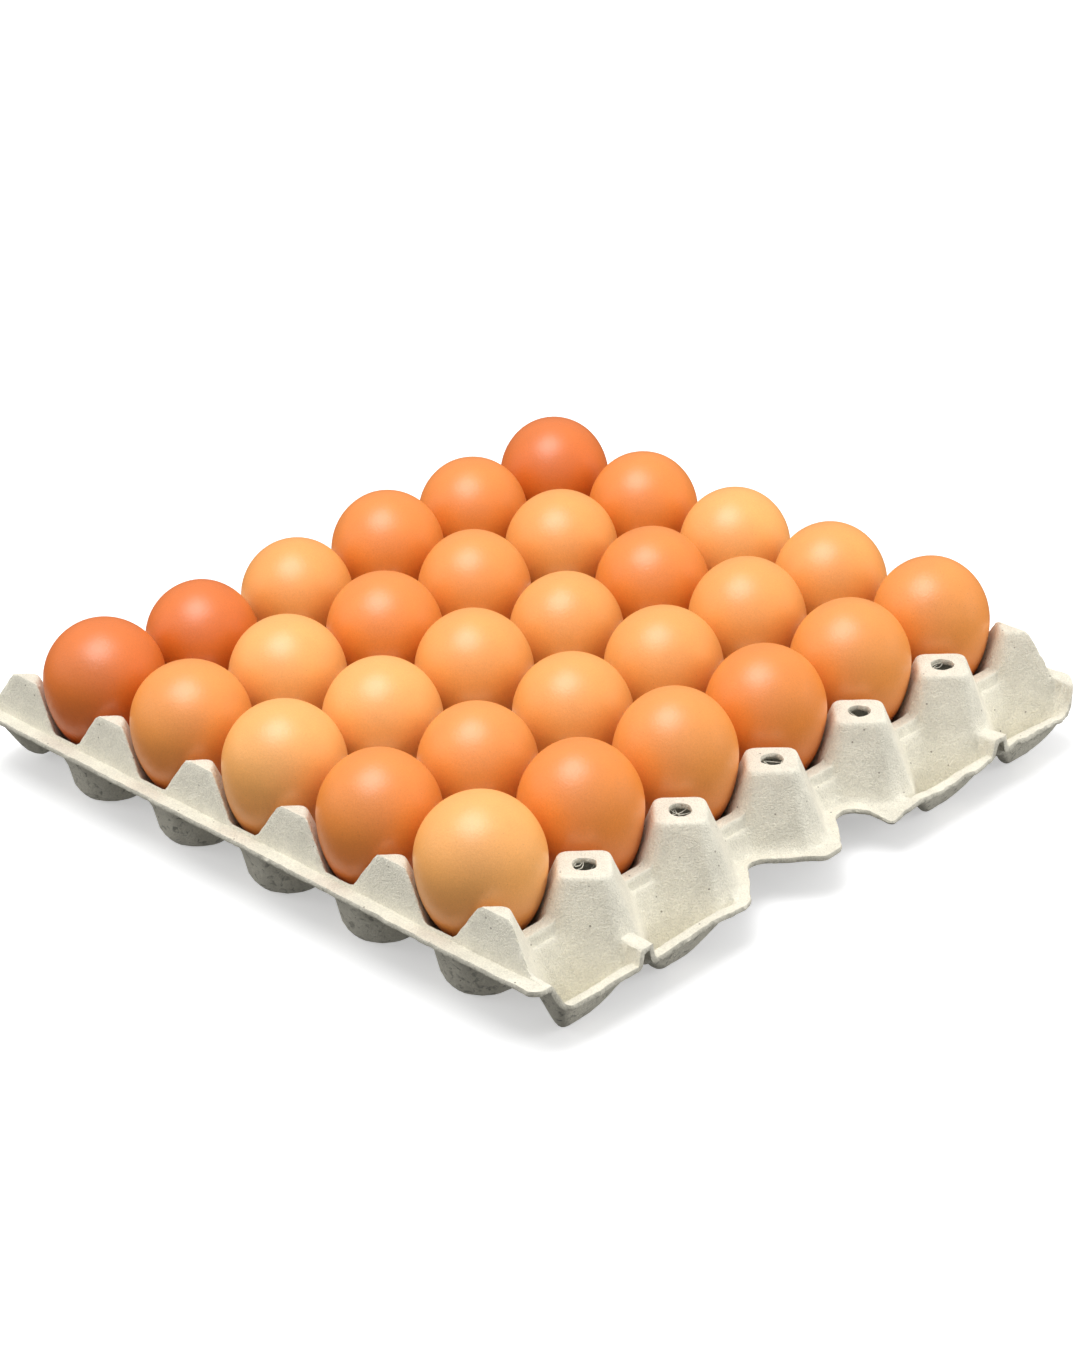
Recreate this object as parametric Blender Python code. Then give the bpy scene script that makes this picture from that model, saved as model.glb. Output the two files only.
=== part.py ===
"""Moulded pulp tray with thirty hen's eggs, six along X and five along Y.

The tray is one thin sheet of pulp. Its upper face is a height over the plan, made of
planes: posts between the eggs, low bridges from post to post, cup floors, level rims at
the two X ends and lips round the partial cups at the two Y sides. Its lower face lies one
wall thickness inside. The eggs stand in the cups on end, resting on the posts' faces.

Sizes are in millimetres and turn into metres where the meshes are made. The origin is at
the middle of the tray, on the surface that it stands on.
"""

import math

import bpy
import numpy as np
from mathutils import Matrix, Vector
from mathutils.geometry import delaunay_2d_cdt

MM = 0.001
PLAN_TOLERANCE = 0.0001

# Driving dimensions of the tray
EGGS_X, EGGS_Y = 6, 5
PITCH_X, PITCH_Y = 47.0, 48.4
TRAY_HEIGHT = 44.0
WALL = 2.0
WALL_TILTS = (20, 40, 60, 75, 90)
WALL_TURNS = range(0, 360, 15)
SHEET_EDGE = 2.4

# Posts: a square top turned 45 degrees, its corners cut, with a round hole
POST_HALF = 9.0
POST_CORNER = 11.6
FACE_SLOPE = 2.67
CORNER_SLOPE = 2.6
HOLE_RADIUS = 4.2
HOLE_SIDES = 8
HOLE_INNER_SHARE = 0.9

# Heights above the table
FLOOR_Z = WALL
BRIDGE_Z = 30.0
RIM_Z = 27.5
LIP_Z = 18.0
LEDGE_Z = 24.0
STEP_Z = 26.0

# Cups and bridges, as distances from a cup's or a post's middle
FLOOR_HALF = 10.0
FOOT_RADIUS = 7.6
BOWL_HALF = 11.8

# X ends: the outermost posts are cut by a nearly upright face above a level rim
END_TOP_X = 135.6
END_FOOT_X = 138.2
RIM_WALL_SLOPE = 5.0
TRAY_HALF_X = 143.5

# Corners: the partial cup's end wall is gentler than the rim's wall elsewhere, and the
# sheet is trimmed along it; the trimmed points are distances in from the two far sides
BAY_END_X = 135.5
BAY_END_SLOPE = 2.05
CORNER_TRIM = ((0.0, 9.0), (1.2, 4.4), (4.0, 3.0))
BAY_END_TRIM = 2.8
LIP_END_TRIM = 1.5
LIP_START = 2.4

# Y sides: distances outward from the outermost row of posts
BRIDGE_OUTER = 2.4
STEP_FOOT = 3.4
STEP_OUTER = 4.7
LIP_INNER = 24.3
LIP_OUTER = 28.0
BAY_WALL_SLOPE = 2.2
LEDGE_HALF = 3.0
LEDGE_SIDE = 0.8

# Notches of the two middle partial cups, in plan
NOTCH_DEPTH = 16.4
NOTCH_APEX_HALF = 4.5
NOTCH_APEX_RISE = 1.8
NOTCH_HALF = 15.5
NOTCH_BEND = (2.0, 2.6)
NOTCH_END = 6.0
NOTCH_INNER_END = (3.0, 0.5)

POSTS_X = [PITCH_X * i for i in range(-EGGS_X // 2, EGGS_X // 2 + 1)]
POSTS_Y = [PITCH_Y * (j - EGGS_Y / 2) for j in range(EGGS_Y + 1)]
CUPS_X = [PITCH_X * (i - (EGGS_X - 1) / 2) for i in range(EGGS_X)]
CUPS_Y = [PITCH_Y * (j - (EGGS_Y - 1) / 2) for j in range(EGGS_Y)]
END_POST_X = POSTS_X[-1]
SIDE_POST_Y = POSTS_Y[-1]
LEDGE_X = POSTS_X[-2]
NOTCH_X = CUPS_X[EGGS_X // 2]
SIDE_Y = SIDE_POST_Y + LIP_OUTER
ROOT2 = math.sqrt(2.0)
LIP_END_X = BAY_END_X - (RIM_Z - LIP_Z) / BAY_END_SLOPE

# Eggs stand blunt end up and rock on a point below their widest ring
EGG_SEGMENTS, EGG_RINGS = 12, 8
EGG_GAP = 0.4
BLUNT_SHARE = 0.42
ROCK_DEPTH = 12.0

# One row of eggs for each Y, one egg for each X: widest diameter, length, lean in degrees
# and the direction of the lean in degrees from X
EGGS = (
    ((44.8, 55.0, 0.8, 120), (43.8, 57.4, 0.6, 330), (44.0, 58.0, 1.8, 300),
     (43.6, 55.4, 2.7, 320), (44.2, 55.3, 1.8, 310), (43.6, 56.9, 0.5, 200)),
    ((43.4, 54.8, 0.6, 150), (42.6, 54.0, 1.8, 130), (43.4, 54.1, 0.7, 60),
     (43.6, 54.4, 1.6, 330), (44.0, 57.3, 2.1, 140), (43.4, 55.1, 0.8, 110)),
    ((43.9, 55.4, 1.6, 300), (43.2, 54.5, 1.0, 220), (43.5, 54.0, 4.1, 130),
     (42.6, 53.3, 0.9, 20), (43.6, 54.3, 0.8, 250), (43.3, 55.0, 0.5, 300)),
    ((43.8, 53.3, 1.3, 150), (43.2, 53.0, 4.7, 140), (43.6, 54.3, 1.2, 240),
     (43.3, 54.9, 0.9, 70), (43.9, 53.7, 1.8, 325), (43.6, 55.7, 0.6, 280)),
    ((44.6, 52.9, 0.5, 190), (42.4, 53.1, 1.9, 130), (42.8, 53.4, 0.4, 40),
     (44.0, 55.6, 2.3, 310), (43.5, 54.5, 0.7, 350), (43.8, 56.3, 1.1, 120)),
)


def surface_height(x, y):
    """Height of the tray's upper face over the plan points x, y.

    Each feature is a plane or a few planes, and the highest of them is the surface.
    """
    ax, ay = np.abs(x), np.abs(y)
    out = ay - SIDE_POST_Y
    px = np.abs(x - PITCH_X * np.round(x / PITCH_X))
    py = np.where(out > 0, out, np.abs(np.mod(y / PITCH_Y, 1.0) - 0.5) * PITCH_Y)
    cx, cy = PITCH_X / 2 - px, PITCH_Y / 2 - py

    post = np.minimum(TRAY_HEIGHT, TRAY_HEIGHT - FACE_SLOPE * ((px + py) / ROOT2 - POST_HALF))
    for side in (px, py):
        post = np.minimum(post, TRAY_HEIGHT - CORNER_SLOPE * (side - POST_CORNER))
    bridge_y = np.minimum(BRIDGE_Z, FLOOR_Z + FACE_SLOPE * (cx - FLOOR_HALF))
    bridge_x = np.minimum(BRIDGE_Z, FLOOR_Z + FACE_SLOPE * (cy - FLOOR_HALF))
    inside = np.maximum.reduce([post, bridge_x, bridge_y, np.full_like(post, FLOOR_Z)])

    step = BRIDGE_Z - (BRIDGE_Z - STEP_Z) * np.clip((out - BRIDGE_OUTER) / (STEP_FOOT - BRIDGE_OUTER), 0, 1)
    back = np.minimum(step, STEP_Z - FACE_SLOPE * (out - STEP_OUTER))
    wall = np.minimum(LIP_Z, LIP_Z - BAY_WALL_SLOPE * (LIP_INNER - out))
    ledge_side = np.clip((np.abs(ax - LEDGE_X) - LEDGE_HALF) / LEDGE_SIDE, 0, 1)
    ledge = LEDGE_Z - (LEDGE_Z - LIP_Z) * ledge_side
    ledge = np.where((out > POST_CORNER) & (ledge_side < 1), ledge, FLOOR_Z)
    bottom = np.where(ax < PITCH_X, LIP_Z, FLOOR_Z)
    end_wall = np.minimum(RIM_Z, RIM_Z - BAY_END_SLOPE * (BAY_END_X - ax))
    bay = np.maximum.reduce([post, back, wall, ledge, bottom, end_wall])

    height = np.where(out > 0, bay, inside)
    end_face = RIM_Z + (TRAY_HEIGHT - RIM_Z) * (END_FOOT_X - ax) / (END_FOOT_X - END_TOP_X)
    height = np.where(ax > END_TOP_X, np.minimum(height, end_face), height)
    rim = np.minimum(RIM_Z, RIM_Z - RIM_WALL_SLOPE * (END_FOOT_X - ax))
    return np.maximum(height, rim)


def lower_height(x, y):
    """Height of the lower face: the upper face worn away by a ball of the wall's radius."""
    low = surface_height(x, y) - WALL
    for tilt in WALL_TILTS:
        reach = WALL * math.sin(math.radians(tilt))
        drop = WALL * math.cos(math.radians(tilt))
        for turn in WALL_TURNS:
            dx, dy = reach * math.cos(math.radians(turn)), reach * math.sin(math.radians(turn))
            low = np.minimum(low, surface_height(x + dx, y + dy) - drop)
    return low


class Plan:
    """Points and crease lines of the tray, drawn in plan."""

    def __init__(self):
        self.points, self.index, self.edges, self.holes = [], {}, [], []

    def point(self, x, y):
        key = (round(x, 3), round(y, 3))
        if key not in self.index:
            self.index[key] = len(self.points)
            self.points.append(Vector(key))
        return self.index[key]

    def line(self, points, closed=False):
        ids = [self.point(x, y) for x, y in points]
        pairs = zip(ids, ids[1:] + ids[:1]) if closed else zip(ids, ids[1:])
        self.edges += [(a, b) for a, b in pairs if a != b]


def octagon(a, b):
    """The eight corners (a, b), (b, a) and their mirror images, in turning order."""
    corners = [(sx * u, sy * v) for u, v in ((a, b), (b, a)) for sx in (1, -1) for sy in (1, -1)]
    return sorted(corners, key=lambda p: math.atan2(p[1], p[0]))


def shifted(points, x, y):
    return [(x + u, y + v) for u, v in points]


def diagonal_reach(z):
    """Sum of the two distances from a post's middle at which its diagonal faces pass z."""
    return ROOT2 * (POST_HALF + (TRAY_HEIGHT - z) / FACE_SLOPE)


def corner_reach(z):
    """Distance from a post's middle at which its cut corners pass z."""
    return POST_CORNER + (TRAY_HEIGHT - z) / CORNER_SLOPE


CORNER_CUT = ROOT2 * POST_HALF - POST_CORNER
BRIDGE_END = corner_reach(BRIDGE_Z)
BRIDGE_HALF_X = PITCH_X / 2 - FLOOR_HALF - (BRIDGE_Z - FLOOR_Z) / FACE_SLOPE
BRIDGE_HALF_Y = PITCH_Y / 2 - FLOOR_HALF - (BRIDGE_Z - FLOOR_Z) / FACE_SLOPE


def draw_post(plan, x, y):
    """Top outline and hole of a whole post, and the ridges towards its bridges."""
    plan.line(shifted(octagon(POST_CORNER, CORNER_CUT), x, y), closed=True)
    turn = 2 * math.pi / HOLE_SIDES
    hole = [(HOLE_RADIUS * math.cos(turn * (k + 0.5)), HOLE_RADIUS * math.sin(turn * (k + 0.5)))
            for k in range(HOLE_SIDES)]
    plan.line(shifted(hole, x, y), closed=True)
    plan.holes.append((x, y))


def draw_end_post(plan, side, y):
    """Half post at an X end: its top, the cut face and the inner side of that face."""
    def put(points, closed=False):
        plan.line([(side * px, y + py) for px, py in points], closed)

    inner_x = END_POST_X - POST_CORNER
    back_x = END_TOP_X - SHEET_EDGE
    back = diagonal_reach(TRAY_HEIGHT) - END_POST_X + back_x
    top = diagonal_reach(TRAY_HEIGHT) - END_POST_X + END_TOP_X
    foot = min(corner_reach(RIM_Z), diagonal_reach(RIM_Z) - END_POST_X + END_FOOT_X)
    for s in (1, -1):
        put([(inner_x, s * CORNER_CUT), (back_x, s * back), (END_TOP_X, s * top), (END_FOOT_X, s * foot)])
        put([(back_x, s * (diagonal_reach(RIM_Z) - END_POST_X + back_x))])
    put([(inner_x, CORNER_CUT), (inner_x, -CORNER_CUT)])
    put([(END_TOP_X, top), (END_TOP_X, -top)])
    put([(back_x, back), (back_x, -back)])
    put([(END_FOOT_X, foot), (END_FOOT_X, -foot)])


def draw_bridges(plan):
    """The level tops of the bridges that join neighbouring posts."""
    for x in POSTS_X[1:-1]:
        for y0, y1 in zip(POSTS_Y, POSTS_Y[1:]):
            low, high = y0 + BRIDGE_END, y1 - BRIDGE_END
            plan.line([(x - BRIDGE_HALF_X, low), (x + BRIDGE_HALF_X, low),
                       (x + BRIDGE_HALF_X, high), (x - BRIDGE_HALF_X, high)], closed=True)
    for y in POSTS_Y:
        low = high = BRIDGE_HALF_Y
        if y == POSTS_Y[0]:
            low = BRIDGE_OUTER
        if y == POSTS_Y[-1]:
            high = BRIDGE_OUTER
        for x0, x1 in zip(POSTS_X, POSTS_X[1:]):
            plan.line([(x0 + BRIDGE_END, y - low), (x1 - BRIDGE_END, y - low),
                       (x1 - BRIDGE_END, y + high), (x0 + BRIDGE_END, y + high)], closed=True)


def draw_cup(plan, x, y):
    """Foot and bowl ring of a cup."""
    foot = [(FOOT_RADIUS * math.cos(a), FOOT_RADIUS * math.sin(a))
            for a in (math.pi / 8 + math.pi / 4 * k for k in range(8))]
    plan.line(shifted(foot, x, y), closed=True)
    bowl_z = FLOOR_Z + FACE_SLOPE * (BOWL_HALF - FLOOR_HALF)
    bowl_cut = (PITCH_X + PITCH_Y) / 2 - diagonal_reach(bowl_z) - BOWL_HALF
    plan.line(shifted(octagon(BOWL_HALF, bowl_cut), x, y), closed=True)


def draw_bay(plan, x, side, deep):
    """Back wall, step, floor and lip of a partial cup outside the last row of posts."""
    def put(points, closed=False):
        plan.line([(x + px, side * (SIDE_POST_Y + out)) for px, out in points], closed)

    for out in (STEP_FOOT, STEP_OUTER):
        half = PITCH_X / 2 - min(corner_reach(STEP_Z), diagonal_reach(STEP_Z) - out)
        put([(-half, out), (half, out)])
    if not deep:
        lip_back = STEP_OUTER + (STEP_Z - LIP_Z) / FACE_SLOPE
        lip_half = PITCH_X / 2 - (diagonal_reach(LIP_Z) - lip_back)
        put([(-lip_half, lip_back), (lip_half, lip_back)])
        return
    floor_back = STEP_OUTER + (STEP_Z - FLOOR_Z) / FACE_SLOPE
    floor_front = LIP_INNER - (LIP_Z - FLOOR_Z) / BAY_WALL_SLOPE
    floor_half = PITCH_X / 2 - (diagonal_reach(FLOOR_Z) - floor_front)
    lip_half = PITCH_X / 2 - (diagonal_reach(LIP_Z) - LIP_INNER)
    low, high = max(-lip_half, -LIP_END_X - x), min(lip_half, LIP_END_X - x)
    put([(0, floor_back), (floor_half, floor_front), (-floor_half, floor_front)], closed=True)
    put([(low, LIP_INNER), (-floor_half, floor_front)])
    put([(high, LIP_INNER), (floor_half, floor_front)])
    put([(low, LIP_INNER), (high, LIP_INNER)])


def draw_bay_end(plan, end, side):
    """End wall of a corner's partial cup: its top edge, its foot and its two sides."""
    def put(points):
        plan.line([(end * px, side * (SIDE_POST_Y + out)) for px, out in points])

    corner = diagonal_reach(RIM_Z) - corner_reach(RIM_Z)
    top = diagonal_reach(RIM_Z) - END_POST_X + BAY_END_X
    floor_front = LIP_INNER - (LIP_Z - FLOOR_Z) / BAY_WALL_SLOPE
    floor_x = END_POST_X - diagonal_reach(FLOOR_Z) + floor_front
    put([(END_FOOT_X, corner_reach(RIM_Z)), (END_POST_X - corner, corner_reach(RIM_Z)), (BAY_END_X, top),
         (BAY_END_X, LIP_OUTER - BAY_END_TRIM)])
    put([(LIP_END_X, LIP_INNER), (LIP_END_X, LIP_OUTER - LIP_END_TRIM)])
    put([(BAY_END_X, top), (floor_x, floor_front)])


def draw_side_ridge(plan, x, side):
    """End of a post's outward ridge: a raised ledge, or just the lip."""
    def put(points, closed=False):
        plan.line([(x + px, side * (SIDE_POST_Y + out)) for px, out in points], closed)

    ledge = abs(x) == LEDGE_X
    level = LEDGE_Z if ledge else LIP_Z
    out = corner_reach(level)
    half = diagonal_reach(level) - out
    if not ledge:
        put([(-half, out), (half, out)])
        return
    wide = LEDGE_HALF + LEDGE_SIDE
    put([(-LEDGE_HALF, LIP_OUTER), (-LEDGE_HALF, out), (LEDGE_HALF, out), (LEDGE_HALF, LIP_OUTER)])
    put([(-wide, LIP_OUTER), (-wide, LIP_INNER)])
    put([(wide, LIP_OUTER), (wide, LIP_INNER)])


def quarter_outline():
    """Outline of the tray's sheet in the quarter where x and y are positive, from X to Y."""
    points = [(TRAY_HALF_X, y) for y in POSTS_Y if y > 0]
    points += [(TRAY_HALF_X - dx, SIDE_Y - dy) for dx, dy in CORNER_TRIM]
    points += [(BAY_END_X, SIDE_Y - BAY_END_TRIM), (LIP_END_X, SIDE_Y - LIP_END_TRIM),
               (LIP_END_X - LIP_START, SIDE_Y)]
    points.append((CUPS_X[-1], SIDE_Y))
    wide = LEDGE_HALF + LEDGE_SIDE
    points += [(LEDGE_X + dx, SIDE_Y) for dx in (wide, LEDGE_HALF, -LEDGE_HALF, -wide)]
    points.append((CUPS_X[-2], SIDE_Y))
    apex = SIDE_Y - NOTCH_DEPTH
    flank = apex + NOTCH_APEX_RISE
    side = flank + NOTCH_HALF - NOTCH_APEX_HALF
    bend, bend_rise = NOTCH_BEND
    inner, inner_drop = NOTCH_INNER_END
    points += [(NOTCH_X + NOTCH_HALF + NOTCH_END, SIDE_Y), (NOTCH_X + NOTCH_HALF + bend, side + bend_rise),
               (NOTCH_X + NOTCH_HALF, side), (NOTCH_X + NOTCH_APEX_HALF, flank),
               (NOTCH_X, apex), (NOTCH_X - NOTCH_APEX_HALF, flank),
               (NOTCH_X - NOTCH_HALF, side), (NOTCH_X - NOTCH_HALF - inner, SIDE_Y - inner_drop)]
    return points


def whole_outline():
    """The outline all round, anticlockwise: the quarter and its mirror images."""
    quarter = quarter_outline()
    loop = quarter + [(0.0, SIDE_Y)]
    loop += [(-x, y) for x, y in reversed(quarter)] + [(-TRAY_HALF_X, 0.0)]
    loop += [(-x, -y) for x, y in quarter] + [(0.0, -SIDE_Y)]
    loop += [(x, -y) for x, y in reversed(quarter)] + [(TRAY_HALF_X, 0.0)]
    return loop


def inside_loop(points, loop):
    """Even-odd test of an array of points against a closed loop."""
    inside = np.zeros(len(points), bool)
    for (x0, y0), (x1, y1) in zip(loop, loop[1:] + loop[:1]):
        if y0 == y1:
            continue
        crosses = (points[:, 1] > min(y0, y1)) & (points[:, 1] <= max(y0, y1))
        at = x0 + (points[:, 1] - y0) * (x1 - x0) / (y1 - y0)
        inside ^= crosses & (points[:, 0] < at)
    return inside


def tray_plan():
    """Triangles of the tray in plan, and its points."""
    plan = Plan()
    outline = whole_outline()
    plan.line(outline, closed=True)
    for x in POSTS_X[1:-1]:
        for y in POSTS_Y:
            draw_post(plan, x, y)
        for side in (1, -1):
            draw_side_ridge(plan, x, side)
    for side in (1, -1):
        for y in POSTS_Y:
            draw_end_post(plan, side, y)
        for x in CUPS_X:
            draw_bay(plan, x, side, deep=abs(x) > PITCH_X)
        for end in (1, -1):
            draw_bay_end(plan, end, side)
    draw_bridges(plan)
    for x in CUPS_X:
        for y in CUPS_Y:
            draw_cup(plan, x, y)
    corners, _, faces, _, _, _ = delaunay_2d_cdt(plan.points, plan.edges, [], 0, PLAN_TOLERANCE, True)
    corners = np.array([tuple(p) for p in corners])
    faces = np.array(faces)
    middles = corners[faces].mean(axis=1)
    keep = inside_loop(middles, outline)
    for x, y in plan.holes:
        keep &= np.hypot(middles[:, 0] - x, middles[:, 1] - y) > HOLE_RADIUS * HOLE_INNER_SHARE
    return corners, faces[keep]


def build_tray():
    """Tray mesh: upper and lower faces over the same plan, joined along every free edge."""
    corners, faces = tray_plan()
    x, y = corners.T
    edge_a = faces.ravel()
    edge_b = np.roll(faces, -1, axis=1).ravel()
    pairs = set(zip(edge_a.tolist(), edge_b.tolist()))
    rim = [(a, b) for a, b in pairs if (b, a) not in pairs]
    count = len(corners)
    upper = np.column_stack([x, y, surface_height(x, y)])
    lower = np.column_stack([x, y, lower_height(x, y)])
    polygons = [tuple(f) for f in faces]
    polygons += [(c + count, b + count, a + count) for a, b, c in faces]
    for a, b in sorted(rim):
        polygons += [(b, a, a + count), (b, a + count, b + count)]
    mesh = bpy.data.meshes.new("tray")
    mesh.from_pydata((np.vstack([upper, lower]) * MM).tolist(), [], polygons)
    mesh.update()
    return mesh


def build_egg(name, diameter, length, turn):
    """Egg on end: two half ellipsoids that share the widest ring, with its middle there."""
    above, below = length * BLUNT_SHARE, length * (1 - BLUNT_SHARE)
    points = [(0, 0, above)]
    for r in range(1, EGG_RINGS):
        angle = math.pi * r / EGG_RINGS
        z = math.cos(angle) * (above if angle < math.pi / 2 else below)
        radius = diameter / 2 * math.sin(angle)
        for s in range(EGG_SEGMENTS):
            around = 2 * math.pi * (s + 0.5) / EGG_SEGMENTS
            points.append((radius * math.cos(around), radius * math.sin(around), z))
    points.append((0, 0, -below))
    last = len(points) - 1
    polygons = []
    foot = last - EGG_SEGMENTS
    for s in range(EGG_SEGMENTS):
        n = (s + 1) % EGG_SEGMENTS
        polygons.append((0, 1 + s, 1 + n))
        polygons.append((last, foot + n, foot + s))
        for r in range(EGG_RINGS - 2):
            a = 1 + r * EGG_SEGMENTS
            b = a + EGG_SEGMENTS
            polygons += [(a + s, b + s, b + n), (a + s, b + n, a + n)]
    mesh = bpy.data.meshes.new(name)
    mesh.from_pydata([turn @ Vector(p) * MM for p in points], [], polygons)
    mesh.shade_smooth()
    return mesh


def seat_height(mesh, x, y):
    """Height of the egg's middle at which it just clears the tray round it."""
    points = np.array([tuple(v.co) for v in mesh.vertices]) / MM
    clear = surface_height(x + points[:, 0], y + points[:, 1]) - points[:, 2]
    return clear.max() + EGG_GAP * math.hypot(1.0, FACE_SLOPE)


def material(name, colour, roughness):
    """Principled material of one colour."""
    made = bpy.data.materials.new(name)
    made.use_nodes = True
    shader = made.node_tree.nodes["Principled BSDF"]
    shader.inputs["Base Color"].default_value = (*colour, 1.0)
    shader.inputs["Roughness"].default_value = roughness
    shader.inputs["Metallic"].default_value = 0.0
    return made


def add_object(name, mesh, finish, parent):
    mesh.materials.append(finish)
    made = bpy.data.objects.new(name, mesh)
    bpy.context.scene.collection.objects.link(made)
    made.parent = parent
    return made


def main():
    for old in list(bpy.data.objects):
        bpy.data.objects.remove(old)
    whole = bpy.data.objects.new("egg_tray", None)
    bpy.context.scene.collection.objects.link(whole)
    pulp = material("grey pulp", (0.62, 0.59, 0.52), 0.95)
    shell = material("brown shell", (0.72, 0.36, 0.16), 0.45)
    add_object("tray", build_tray(), pulp, whole)
    for row, y in enumerate(CUPS_Y):
        for column, x in enumerate(CUPS_X):
            diameter, length, lean, towards = EGGS[row][column]
            lean, towards = math.radians(lean), math.radians(towards)
            way = Vector((math.cos(towards), math.sin(towards)))
            turn = Matrix.Rotation(lean, 3, Vector((-way.y, way.x, 0.0)))
            name = f"egg_{row + 1}_{column + 1}"
            mesh = build_egg(name, diameter, length, turn)
            egg_x, egg_y = Vector((x, y)) + way * (ROCK_DEPTH * math.sin(lean))
            egg = add_object(name, mesh, shell, whole)
            egg.location = (egg_x * MM, egg_y * MM, seat_height(mesh, egg_x, egg_y) * MM)


main()
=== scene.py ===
"""Looks of a moulded pulp tray with thirty brown hen's eggs standing in it.

The tray is one thin sheet of pulp whose upper face is a height over the plan; the eggs are
turned from one profile each. Sizes are in millimetres and become metres in the meshes. The
origin is at the middle of the tray, on the surface that it stands on.
"""

import logging
import math
from dataclasses import dataclass, field
from enum import Enum
from itertools import product

import bpy
import numpy as np
from mathutils import Matrix, Vector
from mathutils.geometry import delaunay_2d_cdt

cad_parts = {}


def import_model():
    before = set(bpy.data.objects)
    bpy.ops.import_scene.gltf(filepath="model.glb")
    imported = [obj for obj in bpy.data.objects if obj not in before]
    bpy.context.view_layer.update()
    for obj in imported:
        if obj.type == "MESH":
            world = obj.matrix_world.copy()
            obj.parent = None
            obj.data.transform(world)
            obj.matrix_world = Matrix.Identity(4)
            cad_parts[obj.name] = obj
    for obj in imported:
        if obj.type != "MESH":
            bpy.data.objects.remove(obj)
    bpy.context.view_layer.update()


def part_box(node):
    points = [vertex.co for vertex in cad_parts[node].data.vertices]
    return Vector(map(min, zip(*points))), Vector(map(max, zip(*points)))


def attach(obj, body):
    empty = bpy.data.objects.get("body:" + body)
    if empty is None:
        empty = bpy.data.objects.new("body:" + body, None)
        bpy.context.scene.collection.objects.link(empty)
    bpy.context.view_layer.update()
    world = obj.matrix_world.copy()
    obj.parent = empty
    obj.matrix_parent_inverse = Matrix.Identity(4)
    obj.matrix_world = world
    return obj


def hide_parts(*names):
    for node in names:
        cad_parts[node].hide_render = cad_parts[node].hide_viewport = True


LOG = logging.getLogger("egg_tray")
MM = 0.001
ROOT2 = math.sqrt(2.0)


def smooth_max(a: np.ndarray, b: np.ndarray | float, width: float) -> np.ndarray:
    """Larger of two values, with the corner between them rounded.

    Where they differ by less than width, the square of what is missing, over four widths,
    is added.

    Args:
        a: First values.
        b: Second values, or one for all.
        width: Difference over which the corner is rounded.

    Returns:
        The rounded maximum.
    """
    missing = np.clip(width - np.abs(a - b), 0.0, None)
    return np.maximum(a, b) + missing**2 / (4.0 * width)


def smooth_min(a: np.ndarray, b: np.ndarray | float, width: float) -> np.ndarray:
    """Smaller of two values, rounded as in smooth_max."""
    return -smooth_max(-a, -b, width)


def shoulder(distance: np.ndarray, radius: float, slope: float) -> np.ndarray:
    """Drop of a face past the edge of a flat top.

    It is nothing on the flat, a circle's drop round the edge, and then slope times the
    distance.

    Args:
        distance: Distance outward from the sharp edge that the rounding replaces.
        radius: Radius of the rounding.
        slope: Fall of the face for each unit outward.

    Returns:
        The drop below the flat top.
    """
    angle = math.atan(slope)
    start = -radius * math.tan(angle / 2.0)
    end = start + radius * math.sin(angle)
    along = np.clip(distance - start, 0.0, end - start)
    curve = radius - np.sqrt(radius**2 - along**2)
    return curve + slope * np.clip(distance - end, 0.0, None)


def grid_points(x: np.ndarray, y: np.ndarray) -> np.ndarray:
    """Every pair of an X and a Y value, one pair a row."""
    return np.array(np.meshgrid(x, y)).reshape(2, -1).T


def mirrored(values: np.ndarray) -> np.ndarray:
    """Values, then their negatives."""
    return np.concatenate([values, -values])


@dataclass(frozen=True)
class Noise:
    """Smooth noise of one period, in millimetres, and one seed."""

    period: float
    seed: int
    cells: int = 64

    def at(self, points: np.ndarray) -> np.ndarray:
        """Values between -1 and 1 from random values on a cubic lattice.

        Each point blends the eight lattice values round it with the weight 3t^2 - 2t^3
        along each axis.

        Args:
            points: Points with three coordinates, or plan points, which lie at nought.

        Returns:
            One value for each point.
        """
        lattice = np.random.default_rng(self.seed).uniform(-1.0, 1.0, (self.cells,) * 3)
        scaled = np.pad(points, ((0, 0), (0, 3 - points.shape[1]))) / self.period
        low = np.floor(scaled).astype(int)
        t = scaled - low
        t = t * t * (3.0 - 2.0 * t)
        total = np.zeros(len(points))
        for step in product((0, 1), repeat=3):
            corner = (low + step) % self.cells
            weight = np.abs(1 - np.array(step) - t)
            weight = weight[:, 0] * weight[:, 1] * weight[:, 2]
            total += weight * lattice[corner[:, 0], corner[:, 1], corner[:, 2]]
        return total


def mesh_from_arrays(name: str, points: np.ndarray, faces: list[np.ndarray]) -> bpy.types.Mesh:
    """Mesh from whole arrays.

    Args:
        name: Name of the mesh.
        points: Vertex positions in millimetres.
        faces: Arrays of vertex numbers, one row a face, each array with its own face size.

    Returns:
        The mesh in metres, smooth shaded.
    """
    mesh = bpy.data.meshes.new(name)
    corners = np.concatenate([f.ravel() for f in faces]).astype(np.int32)
    sizes = np.concatenate([np.full(len(f), f.shape[1]) for f in faces]).astype(np.int32)
    starts = np.concatenate([[0], np.cumsum(sizes)[:-1]]).astype(np.int32)
    mesh.vertices.add(len(points))
    mesh.vertices.foreach_set("co", (points * MM).astype(np.float32).ravel())
    mesh.loops.add(len(corners))
    mesh.loops.foreach_set("vertex_index", corners)
    mesh.polygons.add(len(sizes))
    mesh.polygons.foreach_set("loop_start", starts)
    mesh.polygons.foreach_set("loop_total", sizes)
    mesh.update(calc_edges=True)
    mesh.validate()
    mesh.shade_smooth()
    return mesh


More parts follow.
